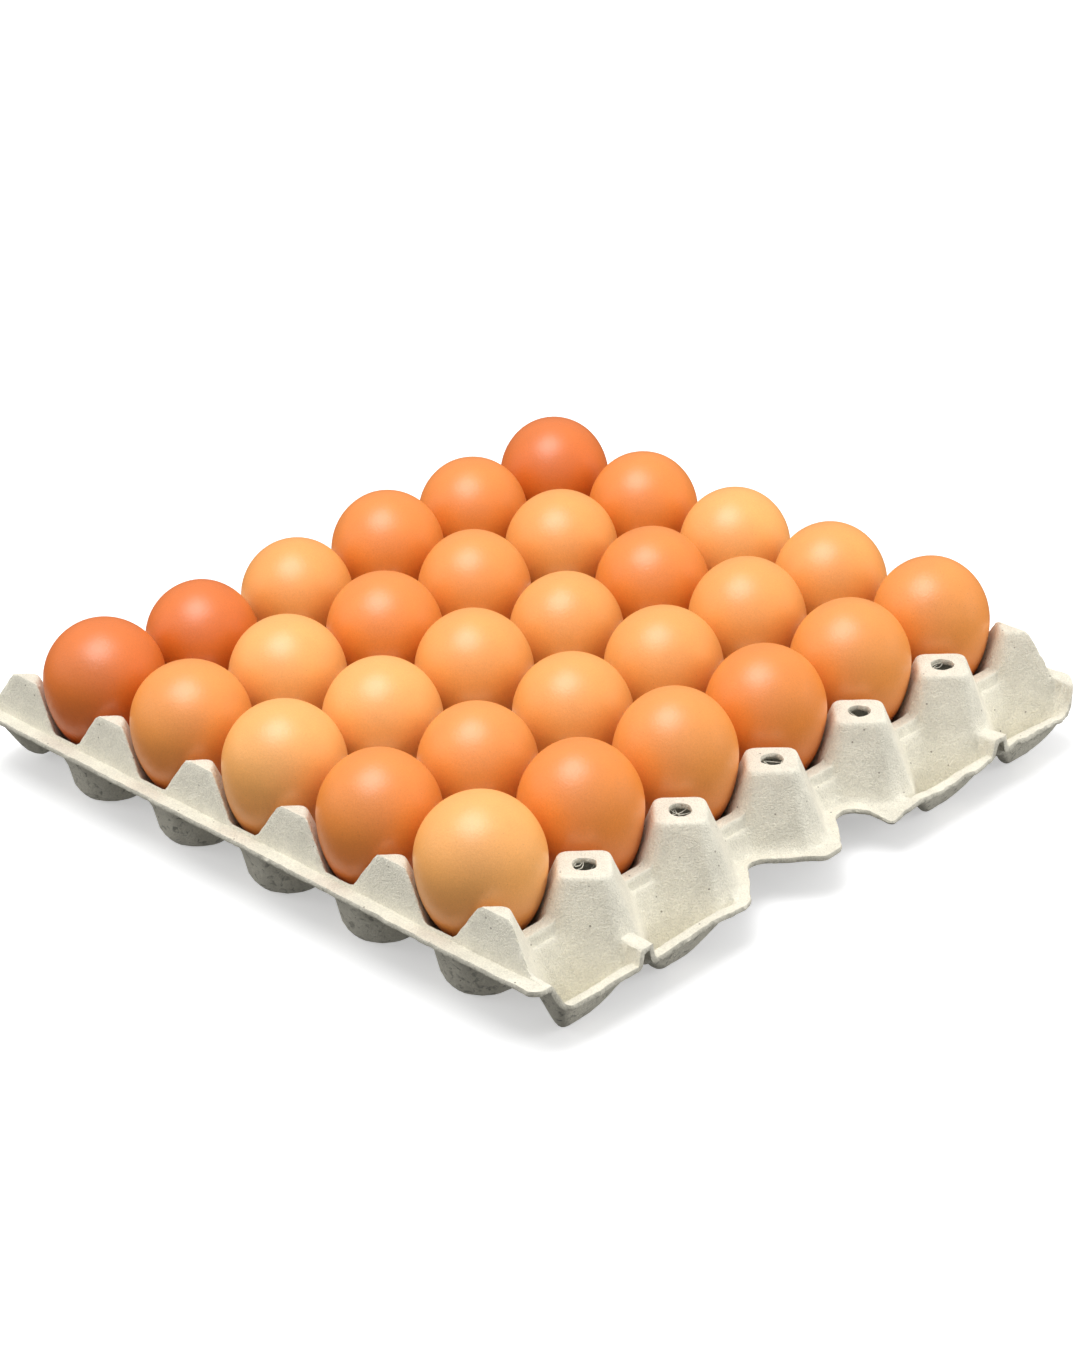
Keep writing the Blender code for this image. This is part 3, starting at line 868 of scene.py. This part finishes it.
@dataclass
class HoleFibres:
    """Loose pulp fibres across the holes in the post tops."""

    plan: TrayPlan = field(default_factory=TrayPlan)
    each: int = 7
    samples: int = 9
    sides: int = 4
    radius: float = 0.17
    thickness: tuple[float, float] = (0.6, 1.6)
    apart: tuple[float, float] = (0.6, 2.6)
    rooted: float = 0.6
    bow: float = 0.3
    depths: tuple[float, float] = (0.7, 2.3)
    sag: float = 0.8
    seed: int = 8

    def mesh(self) -> bpy.types.Mesh:
        """Thin tubes that run from wall to wall of each hole and sag between.

        A fibre's middle line goes straight between two points of the hole's wall, plus a
        sideways bow and a sag, both the sine of its length's share; each tube ends inside
        the pulp and narrows there.

        Returns:
            The mesh of all the fibres.
        """
        s = self.plan.sizes
        draw = np.random.default_rng(self.seed)
        middles = self.plan.post_middles(False).repeat(self.each, axis=0)
        count = len(middles)
        first = draw.uniform(0.0, 2 * np.pi, count)
        second = first + draw.uniform(*self.apart, count) * draw.choice([-1.0, 1.0], count)
        t = np.linspace(0.0, 1.0, self.samples)
        hump = np.sin(np.pi * t)
        reach = s.hole_radius + self.rooted
        ends = [middles + reach * np.column_stack([np.cos(a), np.sin(a)]) for a in (first, second)]
        along = ends[1] - ends[0]
        across = np.column_stack([-along[:, 1], along[:, 0]])
        bow = draw.uniform(-self.bow, self.bow, count)[:, None, None] * hump[None, :, None]
        line = ends[0][:, None, :] + along[:, None, :] * t[None, :, None] + across[:, None, :] * bow
        level = s.height - draw.uniform(*self.depths, count)[:, None]
        level = level - draw.uniform(0.0, self.sag, count)[:, None] * hump
        side = across / np.linalg.norm(across, axis=1)[:, None]
        turn = 2 * np.pi * np.arange(self.sides) / self.sides
        thick = self.radius * draw.uniform(*self.thickness, count)[:, None] * (0.4 + 0.6 * hump)
        flat = side[:, None, None, :] * np.cos(turn)[None, None, :, None] * thick[:, :, None, None]
        rise = level[:, :, None] + np.sin(turn)[None, None, :] * thick[:, :, None]
        points = np.concatenate([line[:, :, None, :] + flat, rise[..., None]], axis=-1)
        index = np.arange(count * self.samples * self.sides).reshape(count, self.samples, self.sides)
        after = np.roll(index, -1, axis=2)
        walls = np.stack([index[:, :-1], after[:, :-1], after[:, 1:], index[:, 1:]], axis=-1).reshape(-1, 4)
        caps = np.vstack([index[:, 0, ::-1], index[:, -1]])
        return mesh_from_arrays("hole_fibres", points.reshape(-1, 3), [walls, caps])

    def build(self, finish: bpy.types.Material) -> bpy.types.Object:
        """The fibres as one piece.

        Args:
            finish: The pulp's material.

        Returns:
            The piece.
        """
        piece = dressed("hole_fibres", self.mesh(), finish)
        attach(piece, "root")
        return piece


class Shade(Enum):
    """Shell colours from palest to deepest, as linear red, green and blue."""

    SAND = (0.90, 0.405, 0.108)
    TAN = (0.85, 0.350, 0.080)
    WARM = (0.83, 0.293, 0.055)
    ORANGE = (0.80, 0.243, 0.035)
    DEEP = (0.70, 0.16, 0.015)


@dataclass(frozen=True)
class EggKind:
    """Widest diameter, length, lean and its direction in degrees from X, and shade."""

    diameter: float
    length: float
    lean: float
    towards: float
    shade: Shade
    speckled: bool = False


S, T, W, O, D = Shade.SAND, Shade.TAN, Shade.WARM, Shade.ORANGE, Shade.DEEP
EGGS = (
    (
        EggKind(44.8, 55.0, 0.8, 120, S),
        EggKind(43.8, 57.4, 0.6, 330, O),
        EggKind(44.0, 58.0, 1.8, 300, W),
        EggKind(43.6, 55.4, 2.7, 320, O),
        EggKind(44.2, 55.3, 1.8, 310, W),
        EggKind(43.6, 56.9, 0.5, 200, W, speckled=True),
    ),
    (
        EggKind(43.4, 54.8, 0.6, 150, O),
        EggKind(42.6, 54.0, 1.8, 130, W),
        EggKind(43.4, 54.1, 0.7, 60, T),
        EggKind(43.6, 54.4, 1.6, 330, T),
        EggKind(44.0, 57.3, 2.1, 140, T),
        EggKind(43.4, 55.1, 0.8, 110, T),
    ),
    (
        EggKind(43.9, 55.4, 1.6, 300, S),
        EggKind(43.2, 54.5, 1.0, 220, S),
        EggKind(43.5, 54.0, 4.1, 130, T),
        EggKind(42.6, 53.3, 0.9, 20, T),
        EggKind(43.6, 54.3, 0.8, 250, O),
        EggKind(43.3, 55.0, 0.5, 300, S),
    ),
    (
        EggKind(43.8, 53.3, 1.3, 150, W),
        EggKind(43.2, 53.0, 4.7, 140, S),
        EggKind(43.6, 54.3, 1.2, 240, O),
        EggKind(43.3, 54.9, 0.9, 70, W),
        EggKind(43.9, 53.7, 1.8, 325, T),
        EggKind(43.6, 55.7, 0.6, 280, O),
    ),
    (
        EggKind(44.6, 52.9, 0.5, 190, D),
        EggKind(42.4, 53.1, 1.9, 130, D),
        EggKind(42.8, 53.4, 0.4, 40, T),
        EggKind(44.0, 55.6, 2.3, 310, O),
        EggKind(43.5, 54.5, 0.7, 350, O),
        EggKind(43.8, 56.3, 1.1, 120, D),
    ),
)


@dataclass
class Egg:
    """One leaning egg in its CAD node's place."""

    row: int
    column: int
    kind: EggKind
    segments: int = 96
    rings: int = 64
    blunt_share: float = 0.42
    unevenness: float = 0.12
    dimples: Noise = Noise(14.0, 21)

    @property
    def node(self) -> str:
        """Name of the CAD node that the egg stands for."""
        return f"egg_{self.row}_{self.column}"

    def shell(self, segments: int, rings: int, offset: float) -> np.ndarray:
        """Points of the leaning shell about the middle of its widest ring.

        Above that ring the profile is a quarter ellipse of the blunt end's height, and
        below it one of the narrow end's height.

        Args:
            segments: Points round each ring.
            rings: Steps from pole to pole.
            offset: Share of a step by which each ring is turned.

        Returns:
            The top pole, the rings from top to bottom and the bottom pole.
        """
        kind = self.kind
        above = kind.length * self.blunt_share
        below = kind.length - above
        angle = np.pi * np.arange(1, rings) / rings
        turn = 2 * np.pi * (np.arange(segments) + offset) / segments
        rise = np.cos(angle) * np.where(angle < np.pi / 2, above, below)
        ring = kind.diameter / 2 * np.sin(angle)[:, None]
        level = np.repeat(rise[:, None], segments, axis=1)
        grid = np.stack([ring * np.cos(turn), ring * np.sin(turn), level], axis=-1).reshape(-1, 3)
        points = np.vstack([[0.0, 0.0, above], grid, [0.0, 0.0, -below]])
        towards = math.radians(kind.towards)
        axis = Vector((-math.sin(towards), math.cos(towards), 0.0))
        return points @ np.array(Matrix.Rotation(math.radians(kind.lean), 3, axis)).T

    def mesh(self) -> bpy.types.Mesh:
        """Fine shell, slightly uneven, set where its twelve-sided CAD solid stands.

        Returns:
            The mesh.
        """
        low = np.array(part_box(self.node)[0]) / MM
        middle = low - self.shell(12, 8, 0.5).min(axis=0)
        points = self.shell(self.segments, self.rings, 0.0) + middle
        away = points - middle
        away /= np.linalg.norm(away, axis=1)[:, None]
        points += away * (self.unevenness * self.dimples.at(points))[:, None]
        index = 1 + np.arange((self.rings - 1) * self.segments).reshape(self.rings - 1, self.segments)
        after = np.roll(index, -1, axis=1)
        quads = np.stack([index[:-1], index[1:], after[1:], after[:-1]], axis=-1).reshape(-1, 4)
        top = np.column_stack([np.zeros(self.segments, int), index[0], after[0]])
        last = np.full(self.segments, len(points) - 1)
        bottom = np.column_stack([last, after[-1], index[-1]])
        return mesh_from_arrays(self.node + "_shell", points, [quads, top, bottom])

    def build(self, finish: bpy.types.Material) -> bpy.types.Object:
        """The egg piece in place of its CAD node.

        Args:
            finish: The shell's material.

        Returns:
            The piece.
        """
        piece = dressed(f"shell_{self.row}_{self.column}", self.mesh(), finish)
        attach(piece, "root")
        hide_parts(self.node)
        return piece


Socket = bpy.types.NodeSocket
Value = float | Socket
Colour = tuple[float, ...] | Socket


class NodeSheet:
    """Adds and joins nodes in one node tree."""

    def __init__(self, tree: bpy.types.NodeTree) -> None:
        """Keeps the tree that nodes are added to."""
        self.tree = tree

    def feed(self, socket: Socket, value: Value | Colour) -> None:
        """Joins another node's output to a socket, or sets the socket's own value."""
        if isinstance(value, Socket):
            self.tree.links.new(value, socket)
        else:
            socket.default_value = value

    def add(self, kind: str, inputs: dict | None = None, **settings: object) -> bpy.types.Node:
        """New node.

        Args:
            kind: Type name of the node.
            inputs: Values or outputs for its inputs, by name or number.
            **settings: Properties of the node.

        Returns:
            The node.
        """
        node = self.tree.nodes.new(kind)
        for key, value in settings.items():
            setattr(node, key, value)
        for key, value in (inputs or {}).items():
            self.feed(node.inputs[key], value)
        return node

    def maths(self, operation: str, first: Value, second: Value = 0.0, clamp: bool = False) -> Socket:
        """One arithmetic step."""
        node = self.add("ShaderNodeMath", {0: first, 1: second}, operation=operation, use_clamp=clamp)
        return node.outputs[0]

    def scaled(self, colour: Colour, factor: Value) -> Socket:
        """Colour times a factor."""
        node = self.add("ShaderNodeVectorMath", {0: colour, "Scale": factor}, operation="SCALE")
        return node.outputs[0]

    def blend(self, factor: Value, first: Colour, second: Colour) -> Socket:
        """Colour between two others."""
        node = self.add("ShaderNodeMix", {0: factor, 6: first, 7: second}, data_type="RGBA")
        return node.outputs[2]

    def use(self, group: bpy.types.NodeTree, **inputs: Value) -> bpy.types.Node:
        """Node that uses a shared group.

        Args:
            group: The group.
            **inputs: Values or outputs for its inputs, by name.

        Returns:
            The node.
        """
        node = self.add("ShaderNodeGroup", node_tree=group)
        for name, value in inputs.items():
            self.feed(node.inputs[name], value)
        return node


def new_group(name: str, inputs: list[str], outputs: list[str]) -> tuple[NodeSheet, dict, dict]:
    """Empty shader node group; its socket named Place is a vector, the others are numbers.

    Args:
        name: Name of the group.
        inputs: Names of the inputs.
        outputs: Names of the outputs.

    Returns:
        The group's sheet, its input sockets and its output sockets, by name.
    """
    tree = bpy.data.node_groups.new(name, "ShaderNodeTree")
    for direction, sockets in (("INPUT", inputs), ("OUTPUT", outputs)):
        for socket in sockets:
            kind = "NodeSocketVector" if socket == "Place" else "NodeSocketFloat"
            tree.interface.new_socket(name=socket, in_out=direction, socket_type=kind)
    sheet = NodeSheet(tree)
    source = sheet.add("NodeGroupInput")
    target = sheet.add("NodeGroupOutput")
    return sheet, {k: source.outputs[k] for k in inputs}, {k: target.inputs[k] for k in outputs}


class Effects:
    """Shader node groups that the pulp and the shells share, each built once."""

    def __init__(self) -> None:
        """Builds both groups."""
        self.grain = self.grain_group()
        self.specks = self.specks_group()

    @staticmethod
    def grain_group() -> bpy.types.NodeTree:
        """Layered noise n as a multiplier, 1 + contrast * (2n - 1), and as a height n.

        Returns:
            The group.
        """
        sheet, source, target = new_group("grain", ["Place", "Scale", "Contrast"], ["Factor", "Height"])
        settings = {"Vector": source["Place"], "Scale": source["Scale"], "Detail": 4.0, "Roughness": 0.62}
        noise = sheet.add("ShaderNodeTexNoise", settings).outputs[0]
        centred = sheet.maths("SUBTRACT", noise, 0.5)
        swing = sheet.maths("MULTIPLY", centred, sheet.maths("MULTIPLY", source["Contrast"], 2.0))
        sheet.feed(target["Factor"], sheet.maths("ADD", swing, 1.0))
        sheet.feed(target["Height"], noise)
        return sheet.tree

    @staticmethod
    def specks_group() -> bpy.types.NodeTree:
        """Sparse round specks: a share of a cell pattern's cells each hold one.

        The mask is (size - distance from the cell's point) over a third of the size,
        between 0 and 1, where the cell's random value is below the share.

        Returns:
            The group.
        """
        sheet, source, target = new_group("specks", ["Place", "Scale", "Share", "Size"], ["Mask"])
        cells = sheet.add("ShaderNodeTexVoronoi", {"Vector": source["Place"], "Scale": source["Scale"]})
        inside = sheet.maths("SUBTRACT", source["Size"], cells.outputs["Distance"])
        edge = sheet.maths("DIVIDE", source["Size"], 3.0)
        spot = sheet.maths("DIVIDE", inside, edge, clamp=True)
        random = sheet.add("ShaderNodeSeparateColor", {0: cells.outputs["Color"]}).outputs[0]
        chosen = sheet.maths("LESS_THAN", random, source["Share"])
        sheet.feed(target["Mask"], sheet.maths("MULTIPLY", spot, chosen))
        return sheet.tree


def new_material(name: str) -> tuple[bpy.types.Material, NodeSheet, dict]:
    """Material with a Principled shader: the material, its sheet and the shader's inputs."""
    made = bpy.data.materials.new(name)
    made.use_nodes = True
    shader = made.node_tree.nodes["Principled BSDF"]
    return made, NodeSheet(made.node_tree), shader.inputs


@dataclass(frozen=True)
class PulpFinish:
    """Unbleached grey pulp: cloudy, fibrous and specked, with painted shade on its lower face."""

    effects: Effects
    colour: tuple[float, float, float] = (0.79, 0.755, 0.635)
    speck_colour: tuple[float, float, float] = (0.20, 0.17, 0.13)
    # Painted shade on the lower face, with random streaks there darker still.
    underside_painted_shade: float = 0.16
    streak_dark: float = 0.4
    streak_level: float = 0.45
    streak_edge: float = 0.15
    fibre_width: float = 0.035
    fibre_light: float = 0.06
    speck_depth: float = 0.75
    roughness: float = 0.92
    specular: float = 0.25

    def material(self) -> bpy.types.Material:
        """Rough pale pulp.

        The colour is the base times slow clouds, fine grain and a little more along the
        fibres, less on the lower face, where shade is painted, and least in random streaks
        there, with specks over it. Fibres are the narrow bands where a twisted noise passes
        one half, and streaks are where another falls below a level.

        Returns:
            The material.
        """
        made, sheet, shader = new_material("moulded_pulp")
        place = sheet.add("ShaderNodeTexCoord").outputs["Object"]
        # Each point's share of the painted underside shade.
        painted_shade_share = sheet.add("ShaderNodeAttribute", attribute_name="painted_shade_share").outputs["Fac"]
        clouds = sheet.use(self.effects.grain, Place=place, Scale=120.0, Contrast=0.18)
        grain = sheet.use(self.effects.grain, Place=place, Scale=1500.0, Contrast=0.30)
        settings = {"Vector": place, "Scale": 330.0, "Detail": 1.5, "Distortion": 1.6}
        wisps = sheet.add("ShaderNodeTexNoise", settings).outputs[0]
        band = sheet.maths("ABSOLUTE", sheet.maths("SUBTRACT", wisps, 0.5))
        fibres = sheet.maths("SUBTRACT", 1.0, sheet.maths("DIVIDE", band, self.fibre_width), clamp=True)
        tone = sheet.maths("MULTIPLY", clouds.outputs["Factor"], grain.outputs["Factor"])
        light = sheet.maths("ADD", 1.0, sheet.maths("MULTIPLY", fibres, self.fibre_light))
        tone = sheet.maths("MULTIPLY", tone, light)
        settings = {"Vector": place, "Scale": 420.0, "Detail": 3.0, "Distortion": 0.6}
        streaks = sheet.add("ShaderNodeTexNoise", settings).outputs[0]
        below = sheet.maths("SUBTRACT", self.streak_level, streaks)
        streaks = sheet.maths("DIVIDE", below, self.streak_edge, clamp=True)
        # Painted shade of the lower face, darker still in random streaks.
        shade = sheet.maths("ADD", self.underside_painted_shade, sheet.maths("MULTIPLY", streaks, self.streak_dark))
        left = sheet.maths("SUBTRACT", 1.0, sheet.maths("MULTIPLY", painted_shade_share, shade))
        paper = sheet.scaled(self.colour, sheet.maths("MULTIPLY", tone, left))
        specks = sheet.use(self.effects.specks, Place=place, Scale=300.0, Share=0.22, Size=0.13)
        dark = sheet.maths("MULTIPLY", specks.outputs["Mask"], self.speck_depth)
        sheet.feed(shader["Base Color"], sheet.blend(dark, paper, (*self.speck_colour, 1.0)))
        shader["Roughness"].default_value = self.roughness
        shader["Specular IOR Level"].default_value = self.specular
        relief = sheet.maths("ADD", grain.outputs["Height"], sheet.maths("MULTIPLY", fibres, 0.25))
        relief = sheet.maths("ADD", relief, sheet.maths("MULTIPLY", clouds.outputs["Height"], 1.5))
        bump = sheet.add("ShaderNodeBump", {"Height": relief, "Strength": 0.7, "Distance": 0.0007})
        sheet.feed(shader["Normal"], bump.outputs[0])
        return made


@dataclass(frozen=True)
class ShellFinish:
    """Brown eggshell of one shade: satin, finely pored and mottled.

    The shade is painted darker towards the bottom of the shell as painted shade: multiplied
    by the painted shade factor below the height low, and by less of it up to the height
    high, both in metres.
    """

    effects: Effects
    shade: Shade
    speckled: bool = False
    # Painted shade: factors by which the colour is darkened below the height low.
    bottom_painted_shade: tuple[float, float, float] = (0.82, 0.60, 0.38)
    low: float = 0.022
    high: float = 0.052
    speck_colour: tuple[float, float, float] = (0.33, 0.10, 0.03)
    speck_depth: float = 0.28
    roughness: float = 0.40
    specular: float = 0.95

    def material(self) -> bpy.types.Material:
        """Satin shell.

        The colour is the shell's shade, with painted shade towards the bottom, times a slow
        mottle and a fine grain, with specks over it.

        Returns:
            The material.
        """
        name = "shell_" + self.shade.name.lower() + ("_speckled" if self.speckled else "")
        made, sheet, shader = new_material(name)
        place = sheet.add("ShaderNodeTexCoord").outputs["Object"]
        mottle = sheet.use(self.effects.grain, Place=place, Scale=75.0, Contrast=0.09)
        grain = sheet.use(self.effects.grain, Place=place, Scale=1900.0, Contrast=0.17)
        tone = sheet.maths("MULTIPLY", mottle.outputs["Factor"], grain.outputs["Factor"])
        share = 0.5 if self.speckled else 0.05
        specks = sheet.use(self.effects.specks, Place=place, Scale=850.0, Share=share, Size=0.2)
        dark = sheet.maths("MULTIPLY", specks.outputs["Mask"], self.speck_depth)
        # Painted shade: the colour darkens towards the bottom of the shell, by height.
        level = sheet.add("ShaderNodeSeparateXYZ", {0: place}).outputs[2]
        limits = {"Value": level, "From Min": self.low, "From Max": self.high}
        unshaded_share = sheet.add("ShaderNodeMapRange", limits, interpolation_type="SMOOTHSTEP").outputs[0]
        deep = tuple(part * left for part, left in zip(self.shade.value, self.bottom_painted_shade))
        shell = sheet.scaled(sheet.blend(unshaded_share, (*deep, 1.0), (*self.shade.value, 1.0)), tone)
        sheet.feed(shader["Base Color"], sheet.blend(dark, shell, (*self.speck_colour, 1.0)))
        gloss = sheet.maths("MULTIPLY", mottle.outputs["Factor"], self.roughness)
        sheet.feed(shader["Roughness"], gloss)
        shader["Specular IOR Level"].default_value = self.specular
        pores = sheet.use(self.effects.grain, Place=place, Scale=950.0, Contrast=0.0).outputs["Height"]
        bump = sheet.add("ShaderNodeBump", {"Height": pores, "Strength": 0.4, "Distance": 0.00025})
        sheet.feed(shader["Normal"], bump.outputs[0])
        return made


@dataclass(frozen=True)
class CameraSizes:
    """Camera place in millimetres, its direction in degrees and its lens."""

    place: tuple[float, float, float] = (-800.0, -809.1, 634.8)
    azimuth: float = 45.0057
    descent: float = 27.8232
    roll: float = 1.59
    lens: float = 93.16


@dataclass(frozen=True)
class SoftLight:
    """Square light: its place in metres, power in watts, and whether it shows in reflections."""

    name: str
    place: tuple[float, float, float]
    power: float
    shines: bool


@dataclass
class Studio:
    """Camera, floor and light."""

    camera: CameraSizes = field(default_factory=CameraSizes)
    lights: tuple[SoftLight, ...] = (
        SoftLight("key", (-0.35, 0.05, 1.5), 15.2, True),
        SoftLight("right", (1.2, -1.2, 0.3), 19.0, False),
        SoftLight("left", (-0.95, 1.15, 0.4), 6.5, False),
    )
    room_top: float = 0.92
    room_side: float = 0.32
    room_low: float = 0.15
    horizon: float = 0.08
    floor_half: float = 6000.0
    floor_tone: float = 0.78
    floor_glow: float = 0.4

    def add_camera(self) -> None:
        """Camera at the photographed view."""
        c = self.camera
        azimuth, descent, roll = (math.radians(v) for v in (c.azimuth, c.descent, c.roll))
        reach = math.cos(descent)
        forward = Vector((math.cos(azimuth) * reach, math.sin(azimuth) * reach, -math.sin(descent)))
        level = forward.cross(Vector((0, 0, 1))).normalized()
        down = forward.cross(level)
        right = math.cos(roll) * level + math.sin(roll) * down
        down = forward.cross(right)
        data = bpy.data.cameras.new("camera")
        data.lens, data.sensor_width = c.lens, 36.0
        data.clip_start, data.clip_end = 0.05, 20.0
        camera = bpy.data.objects.new("camera", data)
        bpy.context.scene.collection.objects.link(camera)
        turn = Matrix((right, -down, -forward)).transposed().to_4x4()
        camera.matrix_world = Matrix.Translation(Vector(c.place) * MM) @ turn
        bpy.context.scene.camera = camera

    def add_floor(self) -> None:
        """Plain pale floor under the tray."""
        finish, _, shader = new_material("pale_floor")
        shader["Base Color"].default_value = (self.floor_tone, self.floor_tone, self.floor_tone, 1.0)
        shader["Roughness"].default_value = 0.9
        shader["Emission Color"].default_value = (1.0, 1.0, 1.0, 1.0)
        shader["Emission Strength"].default_value = self.floor_glow
        corners = self.floor_half * np.array([[-1, -1, 0], [1, -1, 0], [1, 1, 0], [-1, 1, 0]])
        floor = dressed("floor", mesh_from_arrays("floor", corners, [np.array([[0, 1, 2, 3]])]), finish)
        floor.visible_diffuse = False
        floor.visible_glossy = False

    @staticmethod
    def add_light(kind: SoftLight) -> None:
        """Adds one soft light, facing the tray.

        Args:
            kind: The light.
        """
        data = bpy.data.lights.new(kind.name, "AREA")
        data.shape, data.size, data.energy = "SQUARE", 1.0, kind.power
        light = bpy.data.objects.new(kind.name, data)
        light.visible_glossy = kind.shines
        bpy.context.scene.collection.objects.link(light)
        at = Vector(kind.place)
        aim = (Vector((0, 0, 0.03)) - at).to_track_quat("-Z", "Y").to_matrix().to_4x4()
        light.matrix_world = Matrix.Translation(at) @ aim

    def add_world(self) -> None:
        """White room, brightest overhead and dark below the horizon."""
        world = bpy.data.worlds.new("studio")
        world.use_nodes = True
        sheet = NodeSheet(world.node_tree)
        ray = sheet.add("ShaderNodeTexCoord").outputs["Generated"]
        height = sheet.add("ShaderNodeSeparateXYZ", {0: ray}).outputs[2]
        limits = {"Value": height, "To Min": self.room_side, "To Max": self.room_top}
        above = sheet.add("ShaderNodeMapRange", limits).outputs[0]
        limits = {"Value": height, "From Min": -self.horizon, "From Max": self.horizon}
        limits |= {"To Min": self.room_low, "To Max": above}
        strength = sheet.add("ShaderNodeMapRange", limits)
        back = world.node_tree.nodes["Background"]
        back.inputs["Color"].default_value = (1.0, 1.0, 1.0, 1.0)
        sheet.feed(back.inputs["Strength"], strength.outputs[0])
        bpy.context.scene.world = world

    def build(self) -> None:
        """All of the studio."""
        self.add_camera()
        self.add_floor()
        self.add_world()
        for kind in self.lights:
            self.add_light(kind)
        bpy.context.scene.view_settings.view_transform = "Standard"


def main() -> None:
    """Builds every piece over the frame."""
    logging.basicConfig(level=logging.INFO, format="%(message)s")
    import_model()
    effects = Effects()
    pulp = PulpFinish(effects).material()
    for piece in (Tray().build(pulp), HoleFibres().build(pulp)):
        LOG.info("%s: %d triangles", piece.name, len(piece.data.loops) - 2 * len(piece.data.polygons))
    finishes = {(shade, False): ShellFinish(effects, shade).material() for shade in Shade}
    finishes[Shade.WARM, True] = ShellFinish(effects, Shade.WARM, speckled=True).material()
    for row, kinds in enumerate(EGGS, start=1):
        for column, kind in enumerate(kinds, start=1):
            Egg(row, column, kind).build(finishes[kind.shade, kind.speckled])
    Studio().build()


if __name__ == "__main__":
    main()
